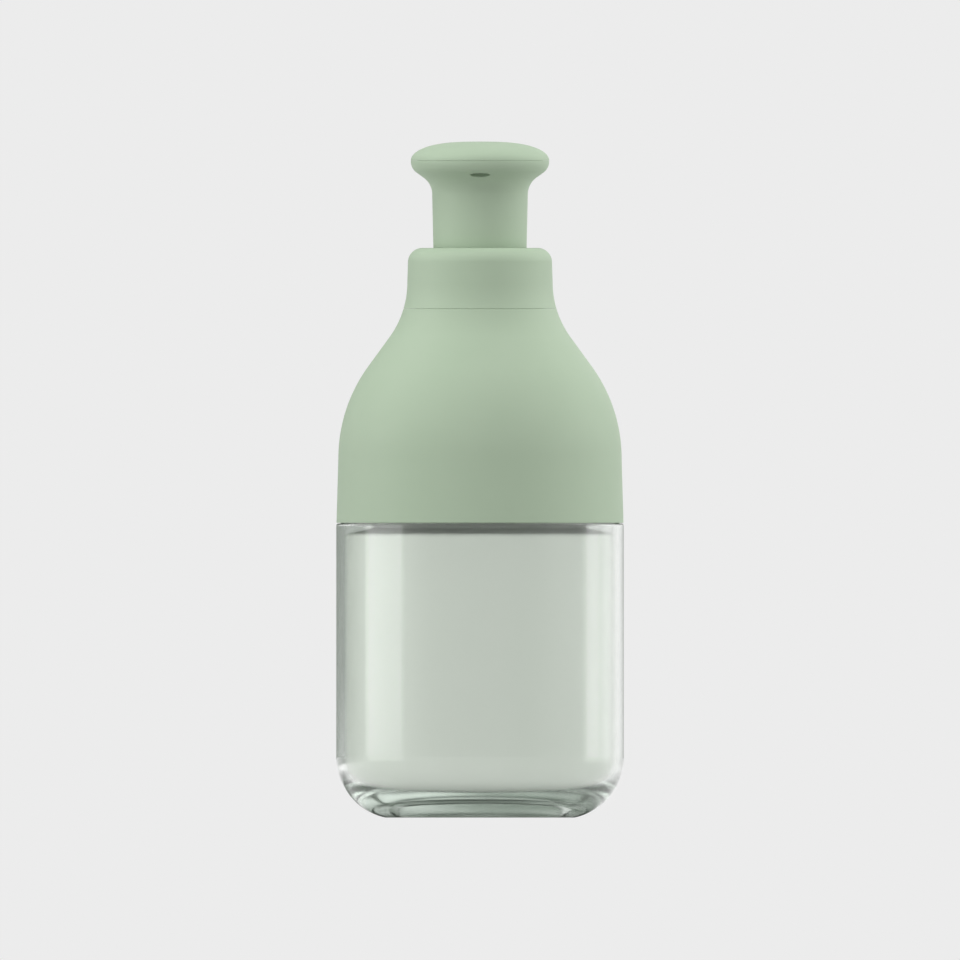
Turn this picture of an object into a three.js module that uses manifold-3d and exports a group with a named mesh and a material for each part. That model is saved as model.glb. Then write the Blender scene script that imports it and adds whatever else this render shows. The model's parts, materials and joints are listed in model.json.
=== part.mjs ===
// Body wash bottle with a lotion pump: a clear double-wall base, a soft shoulder cover,
// a screw-on collar and a mushroom pump head that dispenses from under its rim.
// Millimetres, +Z up, origin at the centre of the foot, nozzle towards -Y.
import * as THREE from "three";
import { mergeVertices } from "three/addons/utils/BufferGeometryUtils.js";
import Module from "manifold-3d";

const wasm = await Module();
wasm.setup();

// Fits shared by many pieces
const seat = 0.1; // gap left between faces that rest on each other
const slip = 0.15; // radial gap of pieces pushed together
const running = 0.25; // radial gap of pieces that slide or turn

// Facets
const bodySides = 32;
const pumpSides = 20;
const ovalSides = 16;
const wireSides = 5;
const stepsPerTurn = 8;

// Clear outer shell
const shellRadius = 35;
const shellHeight = 71.6; // foot to the joint line under the cover
const shellWall = 2;
const shellFloor = 5;
const shellCorner = 15; // outer radius at the foot
const shellInnerCorner = 9; // inner radius at the floor
const footCut = 0.3; // the foot plane trims the corner arc by this much
const footWidth = 4.5;
const footRecess = 0.8;
const shellRim = 0.5; // rounded edge under the joint line
const spigotWall = 0.9; // thin rim that stands up inside the cover
const spigotHeight = 3;
const snapBead = 0.25;

// Inner bottle
const innerGap = 0.3; // air between shell and inner bottle
const innerWall = 1.2;
const innerEdge = 1; // rounded top edge of the body
const bandHeight = 2.6; // clear band between the body's top edge and the joint line
const shelfWidth = 6.5; // nearly flat shelf above the body
const shelfRise = 1.4;
const neckWall = 1.8; // under the thread
const neckHeight = 18;
const threadDepth = 1.15;
const neckRingWidth = 2.65; // how far the ring stands beyond the thread
const neckRingStep = 1.4; // from the ring's edge in to the top of the taper
const neckRingHeight = 1.8;

// Shoulder cover
const coverWall = 1.6;
const coverDraft = 0.5;
const coverStep = 0.05; // the cover's edge stands in from the shell by this much
const coverStraight = 15.9; // joint line to the start of the shoulder curve
const shoulderBlend = 38; // convex radius
const neckBlend = 22.6; // concave radius
const shoulderSlope = 36; // degrees from vertical, between the two radii
const shelfThickness = 1.4; // ledge that rests on the neck ring
const wellGap = 0.7; // between the closure and the well that takes it
const wellWall = 1.2;
const gussetCount = 6;
const gussetThickness = 1.2;
const gussetReach = 9; // web from the well towards the bell

// Collar and closure
const collarRadius = 17.7;
const collarWall = 1.55; // down to the bore over the closure's drum
const collarHeight = 14.9;
const collarFlare = 6.5; // how far the shoulder curve runs up the collar
const collarDraft = 0.15;
const collarEdge = 3.5;
const collarDeck = 2;
const collarGuide = 2.9; // lip that guides the sleeve, below the deck
const collarGuideWall = 1.1;
const seamGap = 0.15; // visible parting lines
const closureWall = 1.7;
const closureDeck = 1.5;
const deckRise = 0.6; // closure deck above the collar seam
const deckGap = 0.3; // between the deck and the chaplet's flange
const drumStep = 0.3; // drum that carries the collar, beyond the closure's skirt
const drumWall = 1.5;
const drumHeight = 8.6;
const keyCount = 6;
const keyWidth = 2.4;
const keyDepth = 0.8;

// Pump engine
const stroke = 11;
const gasketThickness = 1.1;
const flangeGap = 0.8; // between the flange and the closure
const flangeThickness = 1.6;
const cupGap = 0.5; // between the cup and the neck
const cupWall = 1.1;
const cupDepth = 12;
const cylinderBore = 6.6;
const cylinderWall = 1.2;
const ventHole = 0.8;
const ballChamber = 3.3;
const ballChamberDepth = 3;
const inletBall = 2.5;
const inletThroat = 1.7;
const inletLift = 2;
const tailRadius = 4.2;
const tailLength = 8.2;
const dipTubeRadius = 2.9;
const dipTubeWall = 0.9;
const dipTubeGap = 2.5; // tube end above the bottle's floor
const chapletWall = 1.35;
const chapletLip = 1; // flange beyond the cup's bore
const chapletFlangeThickness = 1.3;
const chapletBoss = 2.3; // boss above the chaplet's flange
const guideWall = 1.35;
const wiperWidth = 0.8; // soft ring that keeps shower water off the stem
const wiperHeight = 1.2;
const stemRadius = 4;
const stemBore = 2.2;
const stemFlangeGap = 1.1; // to the cylinder
const stemFlangeThickness = 1.5;
const stemSpigot = 3; // carries the piston
const stemSpigotLength = 4.7;
const outletBall = 2;
const outletChamber = 2.6;
const outletThroat = 1.3;
const outletLift = 2;
const throatLength = 1.2;
const pistonWaist = 5.3;
const pistonLip = 1.1;
const retainerGap = 0.7; // to the cylinder
const retainerThickness = 1.4;
const retainerBore = 1.3;
const cageWall = 0.9;
const cageFlange = 1.1;
const cageTop = 1.4;
const cageWindow = 3.4; // width of the flow windows
const springWire = 0.5; // wire radius
const springRadius = 5.3; // mean coil radius
const springTurns = 8;
const springEndPitch = 1.5;
const springRoom = 11.25; // between the spring's seats when the pump is pressed

// Pump head
const sleeveRadius = 11.3; // at the lower end
const sleeveDraft = 0.35;
const sleeveWall = 1.35;
const sleeveOverlap = 2.7; // sleeve inside the collar at rest
const sleeveShow = 13.03; // sleeve from the collar top to the flare
const flareRadius = 5; // concave radius under the rim
const flareAngle = 54; // degrees from vertical
const rimRadius = 16.85;
const rimBlend = 3.3;
const rimHeight = 0.1; // upright band below the head's parting line
const rimWall = 1.5;
const dishDepth = 1.75;
const headFloor = 2.8; // between the dish and the hollow of the sleeve
const postWall = 1.2;
const socketDepth = 9.8;
const channelBore = 1.7;
const troughWidth = 3.4;
const troughDepth = 1.2;
const outletWall = 0.9; // ledge in front of the chamber over the nozzle
const outletSpan = 13; // half angle of that chamber, degrees
const outletDepth = 3.4;
const capHeight = 4.76;
const capPower = 2.8; // how square the dome's edge is
const capSkirt = 1.2;
const capSkirtWall = 1.25;
const capCeiling = 2.4;
const plugDepth = 0.6;
const nozzleInset = 2.2; // from the rim in to the nozzle
const nozzleWidth = 2.25; // half width of the slit
const nozzleHeight = 0.72; // half height of the slit
const nozzleWall = 0.42;
const nozzleDepth = 1;

const degrees = THREE.MathUtils.degToRad;

// Heights and radii that follow from the sizes above

const slope = degrees(shoulderSlope);
const jointRadius = shellRadius - coverStep;
const shoulderRadius = shellRadius - coverDraft;
const shoulderRun = shoulderRadius - collarRadius;
const blendRun = (shoulderBlend + neckBlend) * (1 - Math.cos(slope));
const blendShare = Math.min(1, shoulderRun / blendRun); // a blend never outgrows its shoulder
const convexRadius = shoulderBlend * blendShare;
const concaveRadius = neckBlend * blendShare;
const slopeLength = (shoulderRun - blendRun * blendShare) / Math.sin(slope);
const shoulderBase = shellHeight + coverStraight;
const shoulderTop =
  shoulderBase + (convexRadius + concaveRadius) * Math.sin(slope) + slopeLength * Math.cos(slope);

const collarBore = collarRadius - collarWall;
const drumRadius = collarBore - slip;
const closureOuter = drumRadius - drumStep;
const closureBore = closureOuter - closureWall;
const wellRadius = closureOuter + wellGap;
const threadRadius = closureBore - running; // crest of the neck thread
const neckRoot = threadRadius - threadDepth;
const neckBore = neckRoot - neckWall;
const neckRing = threadRadius + neckRingWidth;
const taperTop = neckRing - neckRingStep;
const flangeRadius = closureBore - flangeGap;
const cupBore = neckBore - cupGap - cupWall;
const chapletFlange = cupBore + chapletLip;
const deckHole = chapletFlange + deckGap;
const stemFlange = cylinderBore - stemFlangeGap;
const retainerFlange = cylinderBore - retainerGap;

const collarSeam = shoulderTop - collarFlare;
const collarTop = collarSeam + collarHeight;
const deckTop = collarSeam + deckRise;
const deckBottom = deckTop - closureDeck;
const flangeTop = deckBottom - seat;
const flangeBottom = flangeTop - flangeThickness;
const neckLand = flangeBottom - gasketThickness - 2 * seat;
const neckRingTop = neckLand - neckHeight;
const shelfTop = neckRingTop + seat + shelfThickness;

const innerRadius = shellRadius - shellWall - innerGap;
const innerFloor = shellFloor + innerGap;
const bodyTop = shellHeight - bandHeight;
const cornerCentre = shellRadius - shellCorner; // distance of the outer corner arc from the axis
const hollowCentre = shellRadius - shellWall - shellInnerCorner; // the same of the inner arcs
const innerCorner = shellInnerCorner - innerGap;

const cupFloor = flangeTop - cupDepth;
const chapletBottom = cupFloor + 2 * seat;
const stemGuide = stemRadius + running;
const stemGuideOuter = stemGuide + guideWall;
const bossTop = flangeTop + seat + chapletFlangeThickness + chapletBoss;
const wiperBore = stemRadius + slip;
const wiperOuter = wiperBore + wiperWidth;
const wiperBottom = bossTop - seat - wiperHeight;
const stemShoulder = chapletBottom - running; // top of the stem's flange, under the guide
const spigotTop = stemShoulder - stemFlangeThickness;
const stemBottom = spigotTop - stemSpigotLength;
const retainerTop = stemBottom - seat;
const retainerBottom = retainerTop - retainerThickness;

const cageSeat = retainerBottom - stroke - springRoom;
const cageBase = cageSeat - cageFlange;
const cylinderFloor = cageBase - seat;
const ballSeatTop = cylinderFloor - ballChamberDepth;
const throatTop = ballSeatTop - (ballChamber - inletThroat);
const socketTop = throatTop - throatLength;
const tailBottom = socketTop - tailLength;
const inletBallHeight = throatTop - inletThroat + inletBall * Math.SQRT2 + slip;
const cageCeiling = inletBallHeight + inletBall + inletLift + running;

const sleeveBottom = collarTop - sleeveOverlap;
const flareBottom = collarTop + sleeveShow;
const flare = degrees(flareAngle);
const sleeveTop = sleeveRadius + sleeveDraft;
const flareRun = rimRadius - sleeveTop;
const flareLength = (flareRun - (flareRadius + rimBlend) * (1 - Math.cos(flare))) / Math.sin(flare);
const rimBottom =
  flareBottom + (flareRadius + rimBlend) * Math.sin(flare) + flareLength * Math.cos(flare);
const headSeam = rimBottom + rimHeight;
const dishFloor = headSeam - dishDepth;
const hollowTop = dishFloor - headFloor;
const postBottom = collarTop + 2 * seat;
const socketEnd = postBottom + socketDepth;
const stemTop = socketEnd - 2 * seat;
const outletBallHeight = socketEnd - running - outletLift - outletBall;
const outletSeatCrest = outletBallHeight - slip - outletBall * Math.SQRT2 + outletChamber;
const socketRadius = stemRadius + slip;
const dishRadius = rimRadius - rimWall;
const outletReach = dishRadius - outletWall; // front of the chamber over the nozzle
const nozzleReach = rimRadius - nozzleInset; // distance of the nozzle from the axis

// Outlines and solids

// An outline in the (radius, height) plane, drawn with the material on its left.
class Outline {
  points = [];

  to(...corners) {
    for (const [radius, height] of corners) this.points.push(new THREE.Vector2(radius, height));
    return this;
  }

  // An arc between two angles in degrees, with the start and end points included.
  arc(radius, height, size, from, to, steps) {
    const curve = new THREE.EllipseCurve(
      radius, height, size, size, degrees(from), degrees(to), to < from,
    );
    this.points.push(...curve.getPoints(steps));
    return this;
  }
}

// The solid of revolution of an outline, closed on itself unless it ends on the axis.
function revolve(outline, sides) {
  const closed = outline.points[0].x > 0 ? [...outline.points, outline.points[0]] : outline.points;
  const ring = closed.filter((p, i) => i === 0 || p.distanceTo(closed[i - 1]) > 1e-4);
  return new THREE.LatheGeometry(ring, sides).rotateX(Math.PI / 2);
}

function extrude(shape, depth) {
  return new THREE.ExtrudeGeometry(shape, { depth, bevelEnabled: false, curveSegments: ovalSides / 4 });
}

function box(width, depth, height, x, y, z) {
  return new THREE.BoxGeometry(width, depth, height).translate(x, y, z);
}

function solidOf(geometry) {
  const bare = geometry.clone();
  bare.deleteAttribute("normal");
  bare.deleteAttribute("uv");
  const merged = mergeVertices(bare);
  return new wasm.Manifold(
    new wasm.Mesh({
      numProp: 3,
      vertProperties: merged.attributes.position.array,
      triVerts: Uint32Array.from(merged.index.array),
    }),
  );
}

function geometryOf(solid) {
  const { vertProperties, triVerts } = solid.getMesh();
  const geometry = new THREE.BufferGeometry();
  geometry.setAttribute("position", new THREE.BufferAttribute(vertProperties, 3));
  geometry.setIndex(new THREE.BufferAttribute(triVerts, 1));
  geometry.computeVertexNormals();
  return geometry;
}

function joined(first, ...others) {
  return geometryOf(others.reduce((solid, g) => solid.add(solidOf(g)), solidOf(first)));
}

function cut(first, ...others) {
  return geometryOf(others.reduce((solid, g) => solid.subtract(solidOf(g)), solidOf(first)));
}

// Copies of a geometry spaced evenly round the axis.
function around(geometry, count) {
  return Array.from({ length: count }, (_, i) =>
    geometry.clone().rotateZ((i * 2 * Math.PI) / count),
  );
}

// The shoulder's outer line from the collar seam down to the joint, moved in by inset.
// It starts on the concave arc at the given radius from the axis.
function shoulderDown(outline, inset, startRadius) {
  const concave = concaveRadius + inset;
  const convex = convexRadius - inset;
  const concaveCentre = collarRadius + concaveRadius;
  const start = (Math.acos((concaveCentre - startRadius) / concave) * 180) / Math.PI;
  return outline
    .arc(concaveCentre, shoulderTop, concave, 180 + start, 180 + shoulderSlope, 4)
    .arc(shoulderRadius - convexRadius, shoulderBase, convex, shoulderSlope, 0, 5);
}

function seamRadius() {
  return collarRadius + concaveRadius - Math.sqrt(concaveRadius ** 2 - collarFlare ** 2);
}

// Bottle

function outerShell() {
  const footOuter = cornerCentre + Math.sqrt(shellCorner ** 2 - (shellCorner - footCut) ** 2);
  const footAngle = (-Math.acos((footOuter - cornerCentre) / shellCorner) * 180) / Math.PI;
  const footInner = footOuter - footWidth;
  const bore = shellRadius - shellWall;
  const spigot = bore + spigotWall;
  const bead = shellHeight + spigotHeight / 2;
  const outline = new Outline()
    .to([0, footRecess], [footInner - footRecess, footRecess], [footInner, 0])
    .arc(cornerCentre, shellCorner - footCut, shellCorner, footAngle, 0, 8)
    .arc(shellRadius - shellRim, shellHeight - shellRim, shellRim, 0, 90, 2)
    .to([spigot, shellHeight], [spigot, bead - 2 * snapBead], [spigot + snapBead, bead])
    .to([spigot, bead + 2 * snapBead], [spigot, shellHeight + spigotHeight])
    .to([bore, shellHeight + spigotHeight])
    .arc(hollowCentre, shellFloor + shellInnerCorner, shellInnerCorner, 0, -90, 5)
    .to([0, shellFloor]);
  return revolve(outline, bodySides);
}

function innerBottle() {
  const shelf = innerRadius - shelfWidth;
  const shelfHeight = bodyTop + shelfRise;
  const taperHeight = neckRingTop - neckRingHeight;
  const bend = innerWall / 2; // the wall steps down through the shelf
  const neckStep = taperTop - innerWall - neckBore; // slope of 45 degrees under the neck
  const outline = new Outline()
    .to([0, innerFloor])
    .arc(hollowCentre, innerFloor + innerCorner, innerCorner, -90, 0, 5)
    .arc(innerRadius - innerEdge, bodyTop - innerEdge, innerEdge, 0, 90, 3)
    .to([shelf, shelfHeight], [taperTop, taperHeight])
    .to([neckRing, taperHeight], [neckRing, neckRingTop], [neckRoot, neckRingTop])
    .to([neckRoot, neckLand], [neckBore, neckLand])
    .to([neckBore, taperHeight], [taperTop - innerWall, taperHeight - neckStep])
    .to([shelf - innerWall, shelfHeight - bend])
    .to([innerRadius - innerWall, bodyTop - 2 * innerWall])
    .arc(hollowCentre, innerFloor + innerCorner, innerCorner - innerWall, 0, -90, 4)
    .to([0, innerFloor + innerWall]);
  return revolve(outline, bodySides);
}

// A bell with a well at its top: the closure turns in the well, whose ledge sits on the neck ring.
function shoulderCover() {
  const spigot = shellRadius - shellWall + spigotWall;
  const bead = shellHeight + spigotHeight / 2;
  const skirtTop = shellHeight + spigotHeight + 2 * seat;
  const wellOuter = wellRadius + wellWall;
  const ledgeHole = threadRadius + running;
  const ledgeBottom = neckRingTop + seat;
  const groove = spigot + slip + snapBead;
  const outer = shoulderDown(new Outline(), 0, seamRadius()).points.reverse();
  const outline = new Outline().to([spigot + slip, shellHeight + seamGap]);
  outline.to([jointRadius, shellHeight + seamGap]);
  outline.points.push(...outer);
  outline
    .to([wellRadius, collarSeam], [wellRadius, shelfTop], [ledgeHole, shelfTop])
    .to([ledgeHole, ledgeBottom], [wellOuter, ledgeBottom]);
  shoulderDown(outline, coverWall, wellOuter);
  outline
    .to([jointRadius - coverWall, skirtTop], [spigot + slip, skirtTop])
    .to([spigot + slip, bead + 2 * snapBead], [groove, bead], [spigot + slip, bead - 2 * snapBead]);
  const bell = revolve(outline, bodySides);
  return joined(bell, ...gussets());
}

// Thin webs that tie the well to the bell, trimmed by the middle of the bell's wall.
function gussets() {
  const inside = wellRadius + wellWall / 2;
  const middle = shoulderDown(new Outline(), coverWall / 2, inside).points.reverse();
  const bell = new Outline().to([0, shoulderBase]);
  bell.points.push(...middle);
  bell.to([0, middle[middle.length - 1].y]);
  const height = collarSeam - shelfTop;
  const web = box(
    gussetReach, gussetThickness, height,
    inside + gussetReach / 2, 0, shelfTop + height / 2,
  );
  const envelope = solidOf(revolve(bell, bodySides));
  return around(web, gussetCount).map((g) => geometryOf(solidOf(g).intersect(envelope)));
}

// Collar and closure

function collar() {
  const flareStart = (Math.asin((collarFlare - seamGap) / concaveRadius) * 180) / Math.PI;
  const centre = collarRadius + concaveRadius;
  const guideBore = sleeveTop + running;
  const guideOuter = guideBore + collarGuideWall;
  const top = collarRadius - collarDraft;
  const outline = new Outline()
    .to([collarBore, collarSeam + seamGap])
    .arc(centre, shoulderTop, concaveRadius, 180 + flareStart, 180, 3)
    .arc(top - collarEdge, collarTop - collarEdge, collarEdge, 0, 90, 4)
    .to([guideBore, collarTop], [guideBore, collarTop - collarDeck - collarGuide])
    .to([guideOuter, collarTop - collarDeck - collarGuide], [guideOuter, collarTop - collarDeck])
    .to([collarBore, collarTop - collarDeck]);
  const length = drumHeight - deckRise;
  const keys = around(
    box(2 * keyDepth, keyWidth, length, collarBore, 0, deckTop + length / 2),
    keyCount,
  );
  return joined(revolve(outline, bodySides), ...keys);
}

function closureCap() {
  const drumInner = drumRadius - drumWall;
  const drumTop = deckTop + drumHeight;
  const skirtBottom = shelfTop + running;
  const outline = new Outline()
    .to([closureBore, skirtBottom], [closureOuter, skirtBottom], [closureOuter, deckTop])
    .to([drumRadius, deckTop], [drumRadius, drumTop], [drumInner, drumTop], [drumInner, deckTop])
    .to([deckHole, deckTop], [deckHole, deckBottom], [closureBore, deckBottom]);
  const slot = box(
    2 * (keyDepth + slip), keyWidth + 2 * slip, drumHeight + 2 * seat,
    collarBore, 0, deckTop + drumHeight / 2,
  );
  return cut(revolve(outline, bodySides), ...around(slot, keyCount));
}

function neckGasket() {
  const outline = new Outline().to(
    [neckBore + seat, neckLand + seat], [flangeRadius, neckLand + seat],
    [flangeRadius, flangeBottom - seat], [neckBore + seat, flangeBottom - seat],
  );
  return revolve(outline, bodySides);
}

// Pump engine

function pumpHousing() {
  const cup = cupBore + cupWall;
  const cylinder = cylinderBore + cylinderWall;
  const socket = dipTubeRadius + seat;
  const outline = new Outline()
    .to([socket, tailBottom], [tailRadius, tailBottom], [tailRadius, throatTop])
    .to([cylinder, cylinderFloor], [cylinder, cupFloor - cupWall], [cup, cupFloor])
    .to([cup, flangeBottom], [flangeRadius, flangeBottom], [flangeRadius, flangeTop])
    .to([cupBore, flangeTop], [cupBore, cupFloor], [cylinderBore, cupFloor])
    .to([cylinderBore, cylinderFloor], [ballChamber, cylinderFloor], [ballChamber, ballSeatTop])
    .to([inletThroat, throatTop], [inletThroat, socketTop], [socket, socketTop]);
  const vent = new THREE.CylinderGeometry(ventHole, ventHole, cylinder, 8)
    .translate(0, cylinder, cupFloor - 2 * cupWall);
  return cut(revolve(outline, pumpSides), vent);
}

function chaplet() {
  const outer = cupBore - slip;
  const web = flangeTop - chapletWall;
  const flangeBase = flangeTop + seat;
  const flangeCrest = flangeBase + chapletFlangeThickness;
  const groove = wiperOuter + seat;
  const outline = new Outline()
    .to([stemGuide, chapletBottom], [stemGuideOuter, chapletBottom], [stemGuideOuter, web])
    .to([outer - chapletWall, web], [outer - chapletWall, chapletBottom + chapletWall])
    .to([outer, chapletBottom + chapletWall], [outer, flangeBase], [chapletFlange, flangeBase])
    .to([chapletFlange, flangeCrest], [stemGuideOuter, flangeCrest])
    .to([stemGuideOuter, bossTop], [groove, bossTop], [groove, wiperBottom - seat])
    .to([stemGuide, wiperBottom - seat]);
  return revolve(outline, pumpSides);
}

function stemWiper() {
  const top = wiperBottom + wiperHeight;
  const outline = new Outline().to(
    [wiperBore, wiperBottom], [wiperOuter, wiperBottom], [wiperOuter, top], [wiperBore, top],
  );
  return revolve(outline, pumpSides);
}

// A hat over the inlet ball with side windows, whose brim is the spring's lower seat.
function ballCage() {
  const bore = ballChamber + seat;
  const outer = bore + cageWall;
  const outline = new Outline()
    .to([bore, cageBase], [cylinderBore - slip, cageBase], [cylinderBore - slip, cageSeat])
    .to([outer, cageSeat], [outer, cageCeiling + cageTop], [inletThroat, cageCeiling + cageTop])
    .to([inletThroat, cageCeiling], [bore, cageCeiling]);
  const height = cageCeiling - cageSeat;
  const windows = [0, 1].map((turn) =>
    box(3 * outer, cageWindow, height, 0, 0, cageSeat + height / 2).rotateZ((turn * Math.PI) / 2),
  );
  return cut(revolve(outline, pumpSides), ...windows);
}

// A straight tube whose lower end is cut at a slant so that it can't seal on the floor.
function dipTube() {
  const bottom = innerFloor + innerWall + dipTubeGap;
  const bore = dipTubeRadius - dipTubeWall;
  const outline = new Outline().to(
    [bore, bottom], [dipTubeRadius, bottom],
    [dipTubeRadius, socketTop - seat], [bore, socketTop - seat],
  );
  const slant = box(6 * dipTubeRadius, 6 * dipTubeRadius, 2 * dipTubeRadius, 0, 0, -dipTubeRadius)
    .rotateY(Math.PI / 6)
    .translate(0, 0, bottom + dipTubeRadius * Math.tan(Math.PI / 6));
  return cut(revolve(outline, pumpSides), slant);
}

// A compression spring with close end turns.
class SpringLine extends THREE.Curve {
  getPoint(t) {
    const bottom = cageSeat + seat + springWire;
    const rise = retainerBottom - seat - springWire - bottom;
    const ends = 2 * springEndPitch;
    const middlePitch = (rise - ends) / (springTurns - 2);
    const turn = t * springTurns;
    const middleTurns = Math.min(Math.max(turn - 1, 0), springTurns - 2);
    const height = (turn - middleTurns) * springEndPitch + middleTurns * middlePitch;
    const angle = turn * 2 * Math.PI;
    return new THREE.Vector3(
      springRadius * Math.cos(angle), springRadius * Math.sin(angle), bottom + height,
    );
  }
}

// The least distance between turns of a wire along a curve, less the wire's diameter.
function leastGap(curve, turns, wireRadius) {
  const perTurn = 24;
  const points = curve.getPoints(turns * perTurn);
  let least = Infinity;
  points.forEach((p, i) => {
    for (const q of points.slice(i + perTurn / 2)) least = Math.min(least, p.distanceTo(q));
  });
  return least - 2 * wireRadius;
}

function returnSpring() {
  const line = new SpringLine();
  console.log(`return spring: least gap ${leastGap(line, springTurns, springWire).toFixed(2)} mm`);
  const wire = new THREE.Shape(
    Array.from({ length: wireSides }, (_, i) =>
      new THREE.Vector2(springWire, 0).rotateAround(new THREE.Vector2(), (i * 2 * Math.PI) / wireSides),
    ),
  );
  return new THREE.ExtrudeGeometry(wire, { steps: springTurns * stepsPerTurn, extrudePath: line });
}

function ball(radius, height) {
  return new THREE.SphereGeometry(radius, 14, 10).rotateX(Math.PI / 2).translate(0, 0, height);
}

function stem() {
  const seatStart = outletSeatCrest - (outletChamber - outletThroat);
  const throatStart = seatStart - throatLength;
  const outline = new Outline()
    .to([stemBore, stemBottom], [stemSpigot, stemBottom], [stemSpigot, spigotTop])
    .to([stemFlange, spigotTop], [stemFlange, stemShoulder], [stemRadius, stemShoulder])
    .to([stemRadius, stemTop], [outletChamber, stemTop], [outletChamber, outletSeatCrest])
    .to([outletThroat, seatStart], [outletThroat, throatStart], [stemBore, throatStart]);
  return revolve(outline, pumpSides);
}

// A seal with a lip at each end, waisted between them.
function piston() {
  const bore = stemSpigot + slip;
  const lip = cylinderBore - slip;
  const bottom = retainerTop + seat;
  const top = spigotTop - seat;
  const outline = new Outline()
    .to([bore, bottom], [lip - seat, bottom], [lip, bottom + pistonLip / 2])
    .to([pistonWaist, bottom + pistonLip], [pistonWaist, top - pistonLip])
    .to([lip, top - pistonLip / 2], [lip - seat, top], [bore, top]);
  return revolve(outline, pumpSides);
}

function pistonRetainer() {
  const plug = stemBore - slip;
  const outline = new Outline()
    .to([retainerBore, retainerBottom], [retainerFlange, retainerBottom])
    .to([retainerFlange, retainerTop], [plug, retainerTop])
    .to([plug, spigotTop], [retainerBore, spigotTop]);
  return revolve(outline, pumpSides);
}

// Pump head

// The head's outer line from the foot of the sleeve to the parting line.
function headOutline() {
  return new Outline()
    .to([sleeveRadius, sleeveBottom])
    .arc(sleeveTop + flareRadius, flareBottom, flareRadius, 180, 180 - flareAngle, 4)
    .arc(rimRadius - rimBlend, rimBottom, rimBlend, -flareAngle, 0, 4)
    .to([rimRadius, headSeam]);
}

// Where the nozzle's axis leaves the flare, as a height.
function nozzleHeightOnFlare() {
  const slopeStart = sleeveTop + flareRadius * (1 - Math.cos(flare));
  return flareBottom + flareRadius * Math.sin(flare) + (nozzleReach - slopeStart) / Math.tan(flare);
}

// An oval bar through the flare, square to its slope.
function nozzleBar(grow, depth) {
  const shape = new THREE.Shape().absellipse(
    0, 0, nozzleWidth + grow, nozzleHeight + grow, 0, 2 * Math.PI, false, 0,
  );
  return extrude(shape, depth + 2 * rimBlend)
    .translate(0, 0, -depth)
    .rotateX(Math.PI / 2 + flare)
    .translate(0, -nozzleReach, nozzleHeightOnFlare());
}

// The trough from the middle of the head to the chamber over the nozzle, drawn in plan.
function troughShape(inset) {
  const half = troughWidth / 2 - inset;
  const span = degrees(outletSpan) - inset / outletReach;
  const back = outletReach - outletDepth + inset;
  const front = outletReach - inset;
  const shape = new THREE.Shape();
  shape.absarc(0, 0, half, 0, Math.PI, false);
  shape.lineTo(-half, -back);
  shape.absarc(0, 0, front, 1.5 * Math.PI - span, 1.5 * Math.PI + span, false);
  shape.lineTo(half, -back);
  shape.lineTo(half, 0);
  return shape;
}

function actuator() {
  const hollow = sleeveRadius - sleeveWall;
  const post = socketRadius + postWall;
  const outline = new Outline().to([hollow, sleeveBottom]);
  outline.points.push(...headOutline().points);
  outline
    .to([dishRadius, headSeam], [dishRadius, dishFloor], [channelBore, dishFloor])
    .to([channelBore, socketEnd], [socketRadius, socketEnd], [socketRadius, postBottom])
    .to([post, postBottom], [post, hollowTop], [hollow, hollowTop]);
  const trough = extrude(troughShape(0), 2 * troughDepth).translate(0, 0, dishFloor - troughDepth);
  return cut(revolve(outline, bodySides), trough, nozzleBar(nozzleWall + slip, nozzleDepth));
}

function nozzleInsert() {
  const envelope = headOutline().to([0, headSeam]);
  envelope.points.unshift(new THREE.Vector2(0, sleeveBottom));
  const plug = solidOf(nozzleBar(nozzleWall, nozzleDepth - seat));
  const tip = plug.intersect(solidOf(revolve(envelope, bodySides)));
  return geometryOf(tip.subtract(solidOf(nozzleBar(0, nozzleDepth + rimBlend))));
}

// A dome that closes the head, with a plug that seals the trough.
function headCap() {
  const skirt = dishRadius - slip;
  const base = headSeam + seamGap;
  const domeSteps = 9;
  const inner = skirt - capSkirtWall;
  const ceiling = headSeam + capCeiling;
  const outline = new Outline()
    .to([0, ceiling], [inner, ceiling], [inner, headSeam - capSkirt])
    .to([skirt, headSeam - capSkirt], [skirt, base]);
  for (let i = 0; i < domeSteps; i++) {
    const turn = (i / domeSteps) * (Math.PI / 2);
    const radius = rimRadius * Math.cos(turn) ** (2 / capPower);
    outline.to([radius, base + (capHeight - seamGap) * Math.sin(turn)]);
  }
  outline.to([0, headSeam + capHeight]);
  const plug = extrude(troughShape(slip), dishDepth + capCeiling + plugDepth - seat)
    .translate(0, 0, dishFloor - plugDepth + seat);
  return joined(revolve(outline, bodySides), plug);
}

// Finishes

const finishes = {
  sage: { color: 0xb4c7ae, roughness: 0.62, metalness: 0 },
  clear: { color: 0xe4ece6, roughness: 0.04, metalness: 0, transparent: true, opacity: 0.35 },
  pale: { color: 0xc6d0c2, roughness: 0.4, metalness: 0 },
  natural: { color: 0xe6e9e2, roughness: 0.45, metalness: 0 },
  foam: { color: 0xeeeeea, roughness: 0.85, metalness: 0 },
  seal: { color: 0xd9dcd6, roughness: 0.7, metalness: 0 },
  steel: { color: 0xb9bdc1, roughness: 0.25, metalness: 1 },
};

function piece(name, geometry, finish) {
  const mesh = new THREE.Mesh(geometry, new THREE.MeshStandardMaterial(finishes[finish]));
  mesh.name = name;
  return mesh;
}

const bottle = new THREE.Group().add(
  piece("outer_shell", outerShell(), "clear"),
  piece("inner_bottle", innerBottle(), "pale"),
  piece("shoulder_cover", shoulderCover(), "sage"),
);

const closure = new THREE.Group().add(
  piece("collar", collar(), "sage"),
  piece("closure_cap", closureCap(), "natural"),
);

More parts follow.
